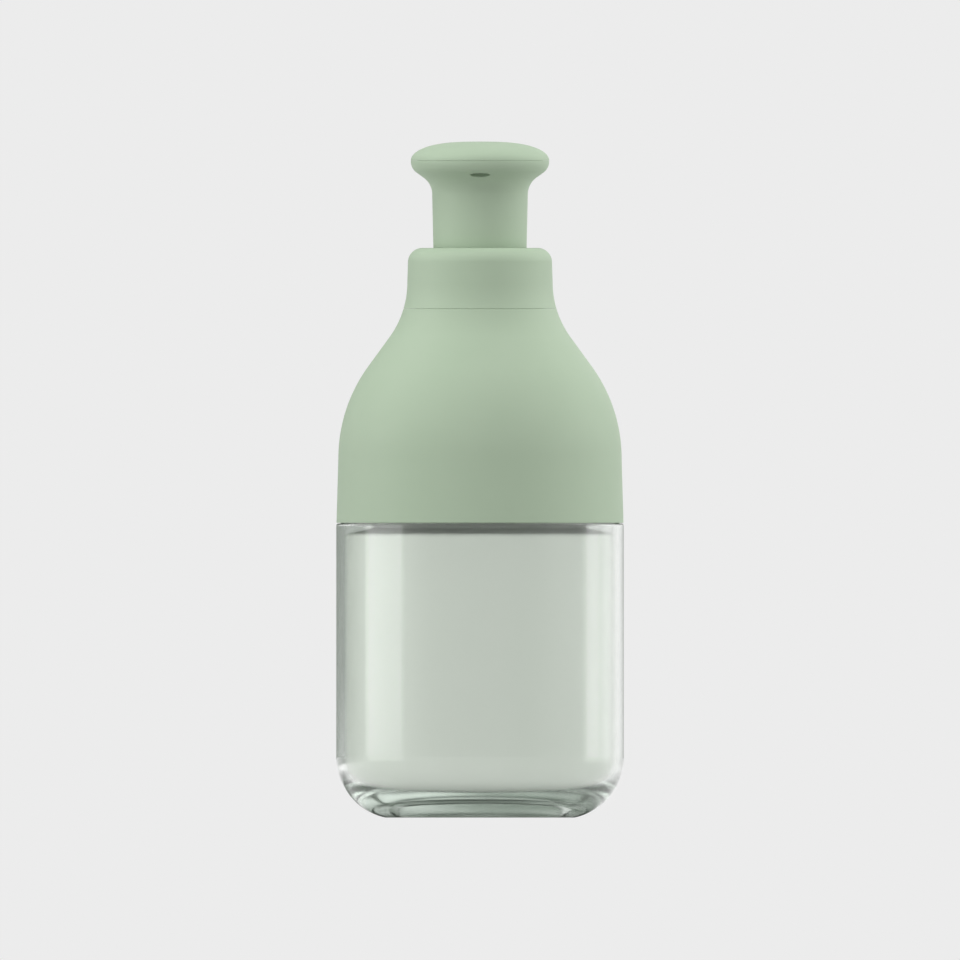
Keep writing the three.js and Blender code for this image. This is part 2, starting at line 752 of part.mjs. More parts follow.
const pumpBody = new THREE.Group().add(
  piece("neck_gasket", neckGasket(), "foam"),
  piece("pump_housing", pumpHousing(), "natural"),
  piece("chaplet", chaplet(), "natural"),
  piece("stem_wiper", stemWiper(), "seal"),
  piece("ball_cage", ballCage(), "natural"),
  piece("dip_tube", dipTube(), "natural"),
  piece("return_spring", returnSpring(), "steel"),
  piece("inlet_ball", ball(inletBall, inletBallHeight), "steel"),
);

const plunger = new THREE.Group().add(
  piece("stem", stem(), "natural"),
  piece("piston", piston(), "natural"),
  piece("piston_retainer", pistonRetainer(), "natural"),
  piece("outlet_ball", ball(outletBall, outletBallHeight), "steel"),
);

const head = new THREE.Group().add(
  piece("actuator", actuator(), "sage"),
  piece("head_cap", headCap(), "sage"),
  piece("nozzle_insert", nozzleInsert(), "sage"),
);

export default new THREE.Group().add(bottle, closure, pumpBody, plunger, head);
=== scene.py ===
import bmesh
import bpy
import json
from math import atan2, cos, degrees, hypot, inf, pi, radians, sin, tan
from mathutils import Matrix, Vector

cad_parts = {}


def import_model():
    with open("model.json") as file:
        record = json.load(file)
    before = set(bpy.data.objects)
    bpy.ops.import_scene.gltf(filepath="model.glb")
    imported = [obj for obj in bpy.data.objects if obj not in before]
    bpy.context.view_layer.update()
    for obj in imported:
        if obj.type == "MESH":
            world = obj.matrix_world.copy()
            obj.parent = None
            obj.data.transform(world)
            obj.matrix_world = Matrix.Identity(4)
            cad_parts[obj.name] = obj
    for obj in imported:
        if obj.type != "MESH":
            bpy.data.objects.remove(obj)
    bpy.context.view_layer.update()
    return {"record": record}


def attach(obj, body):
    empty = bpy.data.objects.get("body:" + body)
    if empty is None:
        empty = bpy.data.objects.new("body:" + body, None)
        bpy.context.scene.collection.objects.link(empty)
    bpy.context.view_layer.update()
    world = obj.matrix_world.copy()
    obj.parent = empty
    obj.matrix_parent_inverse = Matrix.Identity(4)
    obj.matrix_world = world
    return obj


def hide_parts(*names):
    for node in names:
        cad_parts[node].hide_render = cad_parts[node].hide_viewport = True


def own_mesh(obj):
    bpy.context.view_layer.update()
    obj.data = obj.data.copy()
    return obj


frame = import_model()
record = frame["record"]
bodyOf = {node: body for body, nodes in record["behaviour"]["bodies"].items() for node in nodes}
print("frame loaded:", len(bodyOf), "nodes")

mm = 0.001  # outlines are in millimetres, Blender is in metres
seat, slip, running = 0.1, 0.15, 0.25  # gaps between resting faces, pushed-in pieces and sliding ones
knife, fine, trim, crisp, soft, eased, full, wide = 0.05, 0.1, 0.15, 0.2, 0.3, 0.4, 0.5, 1  # edge radii
sides = {"body": 160, "closure": 128, "pump": 96, "ball": 72, "oval": 64, "vent": 24}


def tone(red, green, blue):  # linear light from screen levels
    levels = [level / 255 for level in (red, green, blue)]
    return tuple(v / 12.92 if v <= 0.04045 else ((v + 0.055) / 1.055) ** 2.4 for v in levels) + (1,)


def grey(level):
    return (level, level, level, 1)


# outlines, in the plane of radius and height

def arc(centre, radius, start, end, steps=24):
    turns = [radians(start + (end - start) * i / steps) for i in range(steps + 1)]
    return [(centre[0] + radius * cos(t), centre[1] + radius * sin(t)) for t in turns]


fillet = {"steps": 5, "pumpSteps": 4, "growth": 0.25, "fewest": 2, "most": 40, "leastSide": 1e-9}


def rounded(corners, steps=fillet["steps"]):  # a corner's third number is the radius of its fillet
    spots = [Vector(corner[:2]) for corner in corners]
    count = len(spots)
    reach = [0] * count
    bend = [0] * count
    for i, corner in enumerate(corners):
        if len(corner) > 2:
            before = spots[i - 1] - spots[i]
            after = spots[(i + 1) % count] - spots[i]
            bend[i] = before.angle(after)
            reach[i] = corner[2] / tan(bend[i] / 2)
    share = []
    for i in range(count):
        side = (spots[i] - spots[i - 1]).length
        share.append(min(1, side / max(reach[i] + reach[i - 1], fillet["leastSide"])))
    line = []
    for i in range(count):
        if not reach[i]:
            line.append(tuple(spots[i]))
            continue
        cut = reach[i] * min(share[i], share[(i + 1) % count])  # a fillet never outgrows its two sides
        before = (spots[i - 1] - spots[i]).normalized()
        after = (spots[(i + 1) % count] - spots[i]).normalized()
        radius = cut * tan(bend[i] / 2)
        centre = spots[i] + (before + after).normalized() * hypot(cut, radius)
        start = spots[i] + before * cut - centre
        end = spots[i] + after * cut - centre
        first = atan2(start.y, start.x)
        last = atan2(end.y, end.x)
        sweep = (last - first + pi) % (2 * pi) - pi
        number = round(steps * abs(sweep) * (1 + radius * fillet["growth"]))
        number = max(fillet["fewest"], min(fillet["most"], number))
        line += arc(centre, radius, degrees(first), degrees(first + sweep), number)
    return line


def clip(line, low=-inf, high=inf):  # the part of a line between two heights
    kept = []
    for (r0, z0), (r1, z1) in zip(line, line[1:]):
        for level in sorted((low, high), reverse=z1 < z0):
            if min(z0, z1) < level < max(z0, z1):
                kept.append((r0 + (r1 - r0) * (level - z0) / (z1 - z0), level))
        if low <= z1 <= high:
            kept.append((r1, z1))
    return ([line[0]] if low <= line[0][1] <= high else []) + kept


# meshes

meshing = {"weld": 1e-7, "onAxis": 1e-4, "sharp": 32, "longWall": 1, "edgeRing": 0.12}


def smooth(mesh):
    mesh.shade_smooth()
    mesh.set_sharp_from_angle(angle=radians(meshing["sharp"]))


def finishMesh(name, shape):
    bmesh.ops.remove_doubles(shape, verts=shape.verts, dist=meshing["weld"])
    bmesh.ops.recalc_face_normals(shape, faces=shape.faces)
    mesh = bpy.data.meshes.new(name)
    shape.to_mesh(mesh)
    shape.free()
    smooth(mesh)
    piece = bpy.data.objects.new(name, mesh)
    bpy.context.collection.objects.link(piece)
    return piece


def braced(line, closed):
    loop = line + line[:1] if closed else line
    kept = []
    for start, end in zip(loop, loop[1:]):
        kept.append(start)
        length = hypot(end[0] - start[0], end[1] - start[1])
        if length > meshing["longWall"]:  # rings close to both ends keep long walls flat in the shading
            near = meshing["edgeRing"] / length
            kept += [tuple(a + (b - a) * share for a, b in zip(start, end)) for share in (near, 1 - near)]
    return kept if closed else kept + loop[-1:]


def lathe(name, line, count):
    shape = bmesh.new()
    onAxis = line[0][0] < meshing["onAxis"] and line[-1][0] < meshing["onAxis"]
    rings = []
    for r, z in braced(line, not onAxis):
        if r < meshing["onAxis"]:
            rings.append([shape.verts.new((0, 0, z * mm))] * count)
            continue
        angles = [2 * pi * i / count for i in range(count)]
        rings.append([shape.verts.new((r * mm * cos(a), r * mm * sin(a), z * mm)) for a in angles])
    pairs = list(zip(rings, rings[1:])) + ([] if onAxis else [(rings[-1], rings[0])])
    for lower, upper in pairs:
        for i in range(count):
            j = (i + 1) % count
            corners = list(dict.fromkeys((lower[i], lower[j], upper[j], upper[i])))
            if len(corners) > 2:
                shape.faces.new(corners)
    return finishMesh(name, shape)


def prism(name, plans, low, high, place=Matrix()):
    shape = bmesh.new()
    for plan in plans:
        bottom = [shape.verts.new(place @ Vector((x, y, low)) * mm) for x, y in plan]
        top = [shape.verts.new(place @ Vector((x, y, high)) * mm) for x, y in plan]
        shape.faces.new(bottom[::-1])
        shape.faces.new(top)
        for i in range(len(plan)):
            j = (i + 1) % len(plan)
            shape.faces.new((bottom[i], bottom[j], top[j], top[i]))
    return finishMesh(name, shape)


def wind(name, sections):
    shape = bmesh.new()
    rings = [
        [shape.verts.new((r * mm * cos(turn), r * mm * sin(turn), z * mm)) for r, z in section]
        for turn, section in sections
    ]
    count = len(rings[0])
    for lower, upper in zip(rings, rings[1:]):
        for i in range(count):
            j = (i + 1) % count
            shape.faces.new((lower[i], lower[j], upper[j], upper[i]))
    shape.faces.new(rings[0][::-1])
    shape.faces.new(rings[-1])
    return finishMesh(name, shape)


def carve(piece, tool, how="DIFFERENCE"):
    change = piece.modifiers.new("carve", "BOOLEAN")
    change.operation = how
    change.object = tool
    change.solver = "EXACT"
    bpy.context.view_layer.update()
    view = bpy.context.evaluated_depsgraph_get()
    mesh = bpy.data.meshes.new_from_object(piece.evaluated_get(view))
    piece.modifiers.clear()
    piece.data = mesh
    bpy.data.objects.remove(tool)
    smooth(mesh)
    return piece


def oval(across, along, count):
    turns = [2 * pi * i / count for i in range(count)]
    return [(across * cos(t), along * sin(t)) for t in turns]


def bars(count, inner, outer, width):  # plans of bars that point away from the axis
    plan = [(inner, -width / 2), (outer, -width / 2), (outer, width / 2), (inner, width / 2)]
    spins = [Matrix.Rotation(2 * pi * i / count, 2) for i in range(count)]
    return [[tuple(spin @ Vector(corner)) for corner in plan] for spin in spins]


# shader nodes

class Signal:
    def __init__(self, shader, socket):
        self.shader = shader
        self.socket = socket

    def maths(self, operation, first, second):
        return self.shader.node("ShaderNodeMath", {"operation": operation}, {0: first, 1: second})

    def __add__(self, other):
        return self.maths("ADD", self, other)

    def __sub__(self, other):
        return self.maths("SUBTRACT", self, other)

    def __rsub__(self, other):
        return self.maths("SUBTRACT", other, self)

    def __mul__(self, other):
        return self.maths("MULTIPLY", self, other)

    __radd__ = __add__
    __rmul__ = __mul__


class Shader:
    def __init__(self, owner):
        owner.use_nodes = True
        self.tree = owner.node_tree
        self.tree.nodes.clear()

    def node(self, kind, settings=None, sockets=None, output=0):
        made = self.tree.nodes.new(kind)
        for key, value in (settings or {}).items():
            setattr(made, key, value)
        for key, value in (sockets or {}).items():
            if isinstance(value, Signal):
                self.tree.links.new(value.socket, made.inputs[key])
            else:
                made.inputs[key].default_value = value
        return Signal(self, made.outputs[output]) if made.outputs else made

    def vector(self, operation, first, second, output="Vector"):
        return self.node("ShaderNodeVectorMath", {"operation": operation}, {0: first, 1: second}, output)

    def noise(self, scale, detail=3, stretch=(1, 1, 1)):
        spot = self.node("ShaderNodeTexCoord", output="Object")
        spot = self.vector("MULTIPLY", spot, stretch)
        return self.node("ShaderNodeTexNoise", {}, {"Vector": spot, "Scale": scale, "Detail": detail})

    def mix(self, share, first, second):  # 6, 7 and 2 are the Mix node's sockets for colours
        return self.node("ShaderNodeMix", {"data_type": "RGBA"}, {0: share, 6: first, 7: second}, output=2)

    def fade(self, value, low, high):
        return self.node("ShaderNodeMapRange", {"interpolation_type": "SMOOTHSTEP"},
                         {"Value": value, "From Min": low, "From Max": high})

    def bump(self, height, strength, distance):
        return self.node("ShaderNodeBump", {},
                         {"Height": height, "Strength": strength, "Distance": distance})

    def rays(self):  # masks of the rays from the camera, from gloss and through clear plastic
        names = ("Is Camera Ray", "Is Glossy Ray", "Is Transmission Ray")
        return [self.node("ShaderNodeLightPath", output=name) for name in names]


def between(span, signal):
    low, high = span
    return low + (high - low) * signal


def finish(name, build, depth=None):
    material = bpy.data.materials.new(name)
    shader = Shader(material)
    surface = shader.node("ShaderNodeBsdfPrincipled", {}, build(shader))
    sockets = {"Surface": surface}
    if depth:
        sockets["Volume"] = shader.node("ShaderNodeVolumeAbsorption", {}, depth)
    shader.node("ShaderNodeOutputMaterial", {}, sockets)
    return material


# finishes; relief is a bump's strength and its depth in metres

sageLook = {"pale": tone(184, 202, 178), "deep": tone(176, 196, 170), "mottle": 45, "grain": 2400,
            "rough": (0.5, 0.62), "relief": (0.35, 0.00002), "ior": 1.49, "specular": 0.3}


def sagePlastic(shader):
    cloud = shader.noise(sageLook["mottle"])
    grain = shader.noise(sageLook["grain"], detail=2)
    return {"Base Color": shader.mix(cloud, sageLook["deep"], sageLook["pale"]),
            "Roughness": between(sageLook["rough"], grain),
            "Normal": shader.bump(grain, *sageLook["relief"]),
            "IOR": sageLook["ior"],
            "Specular IOR Level": sageLook["specular"]}


shellLook = {"tint": tone(254, 255, 254), "edge": tone(252, 254, 252), "waves": 30, "stretch": (1, 1, 0.35),
             "rough": 0.17, "ior": 1.49,
             "depth": {"Color": (0.6, 0.85, 0.65, 1), "Density": 7}}  # thick plastic turns faintly green


def clearPlastic(shader):
    waves = shader.noise(shellLook["waves"], detail=2, stretch=shellLook["stretch"])
    return {"Base Color": shader.mix(waves, shellLook["tint"], shellLook["edge"]),
            "Roughness": shellLook["rough"] * waves,
            "IOR": shellLook["ior"],
            "Transmission Weight": 1}


bottleLook = {"pale": tone(244, 250, 241), "deep": tone(239, 246, 236), "streaks": 60, "grain": 900,
              "stretch": (1, 1, 0.12), "rough": (0.32, 0.46), "relief": (0.25, 0.00003), "ior": 1.49}


def paleBottle(shader):
    streak = shader.noise(bottleLook["streaks"], stretch=bottleLook["stretch"])
    grain = shader.noise(bottleLook["grain"], detail=2)
    return {"Base Color": shader.mix(streak, bottleLook["deep"], bottleLook["pale"]),
            "Roughness": between(bottleLook["rough"], streak),
            "Normal": shader.bump(grain, *bottleLook["relief"]),
            "IOR": bottleLook["ior"]}


naturalLook = {"pale": tone(238, 240, 234), "deep": tone(226, 230, 221), "cloud": 120, "grain": 1800,
               "rough": (0.36, 0.5), "relief": (0.2, 0.00002), "ior": 1.5}


def naturalPlastic(shader):
    cloud = shader.noise(naturalLook["cloud"])
    grain = shader.noise(naturalLook["grain"], detail=2)
    return {"Base Color": shader.mix(cloud, naturalLook["deep"], naturalLook["pale"]),
            "Roughness": between(naturalLook["rough"], grain),
            "Normal": shader.bump(grain, *naturalLook["relief"]),
            "IOR": naturalLook["ior"]}


foamLook = {"pale": tone(242, 242, 238), "deep": tone(222, 222, 216), "cells": 5200,
            "rough": (0.8, 0.95), "relief": (0.8, 0.00008)}


def gasketFoam(shader):
    cells = shader.noise(foamLook["cells"], detail=1)
    return {"Base Color": shader.mix(cells, foamLook["deep"], foamLook["pale"]),
            "Roughness": between(foamLook["rough"], cells),
            "Normal": shader.bump(cells, *foamLook["relief"])}


sealLook = {"pale": tone(222, 224, 219), "deep": tone(208, 211, 204), "bloom": 300, "skin": 2600,
            "rough": (0.62, 0.78), "relief": (0.3, 0.00002), "sheen": 0.2}


def softSeal(shader):
    bloom = shader.noise(sealLook["bloom"])
    skin = shader.noise(sealLook["skin"], detail=2)
    return {"Base Color": shader.mix(bloom, sealLook["deep"], sealLook["pale"]),
            "Roughness": between(sealLook["rough"], bloom),
            "Normal": shader.bump(skin, *sealLook["relief"]),
            "Sheen Weight": sealLook["sheen"]}


steelLook = {"bright": tone(214, 216, 219), "dull": tone(186, 188, 192), "drawn": 700, "stretch": (1, 1, 6),
             "rough": (0.14, 0.3), "relief": (0.15, 0.00001)}


def brightSteel(shader):
    lines = shader.noise(steelLook["drawn"], detail=4, stretch=steelLook["stretch"])
    return {"Base Color": shader.mix(lines, steelLook["dull"], steelLook["bright"]),
            "Roughness": between(steelLook["rough"], lines),
            "Normal": shader.bump(lines, *steelLook["relief"]),
            "Metallic": 1}


sage = finish("sage_matte_plastic", sagePlastic)
clear = finish("clear_shell_plastic", clearPlastic, shellLook["depth"])
pale = finish("pale_satin_bottle", paleBottle)
natural = finish("natural_plastic", naturalPlastic)
foam = finish("gasket_foam", gasketFoam)
seal = finish("soft_seal", softSeal)
steel = finish("bright_steel", brightSteel)
print("finishes made:", len(bpy.data.materials))


def dress(piece, node, material):
    piece.data.materials.clear()
    piece.data.materials.append(material)
    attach(piece, bodyOf[node])
    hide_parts(node)
    print("piece:", piece.name, "for", node, "with", len(piece.data.polygons), "faces")
    return piece


# what stands on the neck, from the closure's deck down

stack = {"deckTop": 124.42, "deck": 1.5, "flange": 1.6, "gasket": 1.1, "neck": 18, "ledge": 1.4}
deckTop = stack["deckTop"]
deckBottom = deckTop - stack["deck"]
flangeTop = deckBottom - seat
flangeBottom = flangeTop - stack["flange"]
neckLand = flangeBottom - stack["gasket"] - 2 * seat
neckRingTop = neckLand - stack["neck"]
ledgeBottom = neckRingTop + seat
ledgeTop = ledgeBottom + stack["ledge"]


# bottle

shell = {"radius": 35, "wall": 2, "height": 71.6, "floor": 5, "corner": 15, "innerCorner": 9,
         "footCut": 0.3, "footAngle": -78.52, "foot": 18.4, "recess": 0.8,
         "tongueWall": 0.9, "tongueHeight": 3, "bead": 0.25}
shellBore = shell["radius"] - shell["wall"]
hollow = (shellBore - shell["innerCorner"], shell["floor"] + shell["innerCorner"])
tongue = shellBore + shell["tongueWall"]  # thin rim that stands up inside the cover
tongueTop = shell["height"] + shell["tongueHeight"]
beadMiddle = shell["height"] + shell["tongueHeight"] / 2
beadLow = beadMiddle - 2 * shell["bead"]
beadHigh = beadMiddle + 2 * shell["bead"]


def outerShell():
    s = shell
    corner = (s["radius"] - s["corner"], s["corner"] - s["footCut"])
    foot = [(0, s["recess"]), (s["foot"] - s["recess"], s["recess"], eased), (s["foot"], 0, eased)]
    rim = [(s["radius"], s["height"], full), (tongue, s["height"], trim), (tongue, beadLow),
           (tongue + s["bead"], beadMiddle, trim), (tongue, beadHigh), (tongue, tongueTop, crisp),
           (shellBore, tongueTop, crisp)]
    line = rounded(foot + arc(corner, s["corner"], s["footAngle"], 0) + rim
                   + arc(hollow, s["innerCorner"], 0, -90) + [(0, s["floor"])])
    return lathe("clear_outer_shell", line, sides["body"])


flask = {"gap": 0.3, "wall": 1.2, "band": 2.6, "shelf": 6.5, "shelfRise": 1.4, "shelfEdge": 1.5}
neck = {"root": 12.6, "wall": 1.8, "ring": 16.4, "ringHeight": 1.8, "ringStep": 1.4}
threadForm = {"pitch": 4.2333, "turns": 1.5, "foot": 1.1, "flat": 0.45, "runOut": 0.12, "steps": 96}
neckThread = {"root": 12.5, "crest": 13.7, "start": 110.4}
flaskFloor = shell["floor"] + flask["gap"]
neckBore = neck["root"] - neck["wall"]


def thread(name, root, crest, start):
    t = threadForm
    sections = []
    for i in range(round(t["turns"] * t["steps"]) + 1):
        turn = i / t["steps"]
        fade = min(1, turn / t["runOut"], (t["turns"] - turn) / t["runOut"])  # it runs out at both ends
        reach = root + (crest - root) * fade
        height = start + t["pitch"] * turn
        form = [(root, -t["foot"]), (reach, -t["flat"]), (reach, t["flat"]), (root, t["foot"])]
        if crest < root:  # a thread inside a bore runs round its section the other way
            form = form[:1] + form[:0:-1]
        sections.append((2 * pi * turn, [(r, height + z) for r, z in form]))
    return wind(name, sections)


def innerBottle():
    wall = flask["wall"]
    outer = shellBore - flask["gap"]
    corner = shell["innerCorner"] - flask["gap"]
    top = shell["height"] - flask["band"]
    shelf = outer - flask["shelf"]
    shelfTop = top + flask["shelfRise"]
    taper = neck["ring"] - neck["ringStep"]
    taperTop = neckRingTop - neck["ringHeight"]
    taperBore = taper - wall
    outside = [(outer, top, wide), (shelf, shelfTop, flask["shelfEdge"]), (taper, taperTop, wide),
               (neck["ring"], taperTop, soft), (neck["ring"], neckRingTop, eased),
               (neck["root"], neckRingTop, eased), (neck["root"], neckLand, eased)]
    inside = [(neckBore, neckLand, eased), (neckBore, taperTop, wide),
              (taperBore, taperTop - (taperBore - neckBore), wide),  # 45 degrees under the neck
              (shelf - wall, shelfTop - wall / 2, wide), (outer - wall, top - 2 * wall, wide)]
    line = rounded([(0, flaskFloor)] + arc(hollow, corner, -90, 0) + outside + inside
                   + arc(hollow, corner - wall, 0, -90) + [(0, flaskFloor + wall)])
    bottle = lathe("pale_inner_bottle", line, sides["body"])
    return carve(bottle, thread("neck_thread", **neckThread), "UNION")


bell = {"edge": 34.95, "joint": 0.15, "straight": 15.9, "lean": 0.5, "convex": 38, "slope": 36,
        "concave": 22.6, "concaveTop": 130.313, "collar": 17.7, "collarDraft": 0.15, "collarEdge": 3.5,
        "collarTop": 138.713, "guide": 11.9, "steps": 40}
collarSeam, seamGap = 123.87, 0.035
collarTop = bell["collarTop"]
groove = tongue + slip  # inside of the cover's edge, over the shell's rim
convexSpot = (shell["radius"] - bell["lean"] - bell["convex"], shell["height"] + bell["straight"])
concaveSpot = (bell["collar"] + bell["concave"], bell["concaveTop"])


def bellLine():  # from the cover's edge up over the shoulder and the collar
    b = bell
    bottom = shell["height"] + b["joint"]
    edgeSpot = (b["collar"] - b["collarDraft"] - b["collarEdge"], collarTop - b["collarEdge"])
    return rounded([(groove, bottom), (b["edge"], bottom, trim)]
                   + arc(convexSpot, b["convex"], 0, b["slope"], b["steps"])
                   + arc(concaveSpot, b["concave"], 180 + b["slope"], 180, b["steps"])
                   + arc(edgeSpot, b["collarEdge"], 0, 90) + [(b["guide"], collarTop)])


cover = {"wall": 1.6, "well": 16.4, "wellWall": 1.2, "hole": 14, "underStart": 200.27, "underSteps": 12}
gusset = {"count": 6, "thickness": 1.2, "inner": 17, "outer": 26, "trim": 26.5, "sink": 0.6, "top": 121.9}


def shoulderCover():
    c = cover
    outside = clip(bellLine(), high=collarSeam)
    outside[-1] += (fine,)
    well = [(c["well"], collarSeam, soft), (c["well"], ledgeTop, crisp), (c["hole"], ledgeTop, crisp),
            (c["hole"], ledgeBottom, crisp), (c["well"] + c["wellWall"], ledgeBottom, crisp)]
    slope = bell["slope"]
    under = (arc(concaveSpot, bell["concave"] + c["wall"], c["underStart"], 180 + slope, c["underSteps"])
             + arc(convexSpot, bell["convex"] - c["wall"], slope, 0))
    skirtTop = tongueTop + 2 * seat
    skirt = [(bell["edge"] - c["wall"], skirtTop), (groove, skirtTop), (groove, beadHigh),
             (groove + shell["bead"], beadMiddle, trim), (groove, beadLow)]
    piece = lathe("sage_shoulder_cover", rounded(outside + well + under + skirt), sides["body"])
    g = gusset
    web = ([(g["inner"], ledgeTop), (g["outer"], ledgeTop)]
           + [(r, z + g["sink"]) for r, z in reversed(under) if r < g["trim"]] + [(g["inner"], g["top"])])
    upright = Matrix.Rotation(pi / 2, 4, "X")
    half = g["thickness"] / 2
    for i in range(g["count"]):
        spin = Matrix.Rotation(2 * pi * i / g["count"], 4, "Z")
        carve(piece, prism("gusset", [web], -half, half, spin @ upright), "UNION")
    return piece


# closure

collarSizes = {"bore": 16.15, "deck": 2, "guideLip": 2.9, "guideWall": 1.1}
keys = {"count": 6, "width": 2.4, "depth": 0.8, "root": 0.5, "height": 8}


def collar():
    c = collarSizes
    bottom = collarSeam + seamGap
    deck = collarTop - c["deck"]
    lip = deck - c["guideLip"]
    guide = bell["guide"]
    outside = clip(bellLine(), low=bottom)
    outside[0] += (fine,)
    inside = [(guide, collarTop, eased), (guide, lip, crisp), (guide + c["guideWall"], lip, crisp),
              (guide + c["guideWall"], deck, soft), (c["bore"], deck, eased), (c["bore"], bottom, trim)]
    piece = lathe("sage_collar", rounded(outside[:-1] + inside), sides["body"])
    plans = bars(keys["count"], c["bore"] - keys["depth"], c["bore"] + keys["root"], keys["width"])
    return carve(piece, prism("keys", plans, deckTop, deckTop + keys["height"]), "UNION")


closure = {"bore": 14, "wall": 1.7, "drumStep": 0.3, "drumWall": 1.5, "drumHeight": 8.6, "hole": 10.5,
           "slotReach": 17, "slotTop": 134}
capThread = {"root": 14.1, "crest": 12.9, "start": 108.28}


def closureCap():
    c = closure
    bottom = ledgeTop + running
    skirt = c["bore"] + c["wall"]
    drum = skirt + c["drumStep"]
    drumTop = deckTop + c["drumHeight"]
    line = rounded([(c["bore"], bottom, crisp), (skirt, bottom, soft), (skirt, deckTop, fine),
                    (drum, deckTop, fine), (drum, drumTop, soft), (drum - c["drumWall"], drumTop, soft),
                    (drum - c["drumWall"], deckTop, soft), (c["hole"], deckTop, crisp),
                    (c["hole"], deckBottom, crisp), (c["bore"], deckBottom, soft)])
    piece = lathe("natural_closure_cap", line, sides["closure"])
    slotInner = collarSizes["bore"] - keys["depth"] - slip
    plans = bars(keys["count"], slotInner, c["slotReach"], keys["width"] + 2 * slip)
    carve(piece, prism("slots", plans, deckTop - seat, c["slotTop"]))
    return carve(piece, thread("cap_thread", **capThread), "UNION")


# pump engine, from the neck down

cup = {"flangeGap": 0.8, "gap": 0.5, "wall": 1.1, "depth": 12}
cylinder = {"bore": 6.6, "wall": 1.2}
flangeRadius = closure["bore"] - cup["flangeGap"]
cupBore = neckBore - cup["gap"] - cup["wall"]
cupFloor = flangeTop - cup["depth"]


def pumpLathe(name, corners):
    return lathe(name, rounded(corners, fillet["pumpSteps"]), sides["pump"])


def neckGasket():
    bore = neckBore + seat
    bottom = neckLand + seat
    top = flangeBottom - seat
    return pumpLathe("foam_neck_gasket", [(bore, bottom, fine), (flangeRadius, bottom, crisp),
                                          (flangeRadius, top, crisp), (bore, top, fine)])


stemSizes = {"radius": 4, "bore": 2.2, "flange": 5.5, "flangeHeight": 1.5, "spigot": 3, "spigotLength": 4.7,
             "chamber": 2.6, "throat": 1.3, "throatLength": 1.2, "top": 148.52, "ballSeat": 144.09}
chapletSizes = {"wall": 1.35, "guideWall": 1.35, "lip": 1, "flange": 1.3, "boss": 2.29}
wiper = {"lip": 4.1, "notch": 4.3, "foot": 4.4, "outer": 4.95, "height": 1.2,
         "lowLip": 0.1, "notchHeight": 0.59, "highLip": 0.89}
chapletBottom = cupFloor + 2 * seat
bossTop = flangeTop + seat + chapletSizes["flange"] + chapletSizes["boss"]
wiperTop = bossTop - seat
wiperBottom = wiperTop - wiper["height"]


def chaplet():
    c = chapletSizes
    guide = stemSizes["radius"] + running
    guideOuter = guide + c["guideWall"]
    outer = cupBore - slip
    inner = outer - c["wall"]
    web = flangeTop - c["wall"]
    skirtBottom = chapletBottom + c["wall"]
    flange = cupBore + c["lip"]
    flangeFoot = flangeTop + seat
    flangeCrest = flangeFoot + c["flange"]
    ring = wiper["outer"] + seat  # groove that holds the wiper
    ringFoot = wiperBottom - seat
    return pumpLathe("natural_chaplet", [
        (guide, chapletBottom, soft), (guideOuter, chapletBottom, soft), (guideOuter, web, full),
        (inner, web, full), (inner, skirtBottom, crisp), (outer, skirtBottom, soft),
        (outer, flangeFoot, fine), (flange, flangeFoot, crisp), (flange, flangeCrest, eased),
        (guideOuter, flangeCrest, full), (guideOuter, bossTop, crisp), (ring, bossTop, fine),
        (ring, ringFoot, fine), (guide, ringFoot, fine)])


def stemWiper():
    w = wiper
    return pumpLathe("soft_stem_wiper", [
        (w["lip"], wiperBottom + w["lowLip"], knife), (w["foot"], wiperBottom, crisp),
        (w["outer"], wiperBottom, crisp), (w["outer"], wiperTop, crisp), (w["notch"], wiperTop, fine),
        (w["lip"], wiperBottom + w["highLip"], knife), (w["notch"], wiperBottom + w["notchHeight"], fine)])


stemShoulder = chapletBottom - running  # top of the stem's flange, under the guide
spigotTop = stemShoulder - stemSizes["flangeHeight"]
stemBottom = spigotTop - stemSizes["spigotLength"]


def stem():
    s = stemSizes
    coneFoot = s["ballSeat"] - (s["chamber"] - s["throat"])
    throatFoot = coneFoot - s["throatLength"]
    return pumpLathe("natural_stem", [
        (s["bore"], stemBottom, fine), (s["spigot"], stemBottom, crisp), (s["spigot"], spigotTop, crisp),
        (s["flange"], spigotTop, crisp), (s["flange"], stemShoulder, soft),
        (s["radius"], stemShoulder, soft), (s["radius"], s["top"], soft),
        (s["chamber"], s["top"], crisp), (s["chamber"], s["ballSeat"], crisp),
        (s["throat"], coneFoot, crisp), (s["throat"], throatFoot, fine), (s["bore"], throatFoot, crisp)])


pistonSizes = {"waist": 5.3, "lipHeight": 1.1}
retainer = {"bore": 1.3, "flange": 5.9, "thickness": 1.4}
retainerTop = stemBottom - seat
retainerBottom = retainerTop - retainer["thickness"]


def piston():  # a lip at each end and a waist between them
    bore = stemSizes["spigot"] + slip
    lip = cylinder["bore"] - slip
    waist = pistonSizes["waist"]
    height = pistonSizes["lipHeight"]
    bottom = stemBottom
    top = spigotTop - seat
    return pumpLathe("natural_piston", [
        (bore, bottom, crisp), (lip - seat, bottom, fine), (lip, bottom + height / 2, fine),
        (waist, bottom + height, eased), (waist, top - height, eased),
        (lip, top - height / 2, fine), (lip - seat, top, fine), (bore, top, crisp)])


def pistonRetainer():
    r = retainer
    plug = stemSizes["bore"] - slip
    return pumpLathe("natural_piston_retainer", [
        (r["bore"], retainerBottom, crisp), (r["flange"], retainerBottom, soft),
        (r["flange"], retainerTop, soft), (plug, retainerTop, crisp),
        (plug, spigotTop, soft), (r["bore"], spigotTop, crisp)])


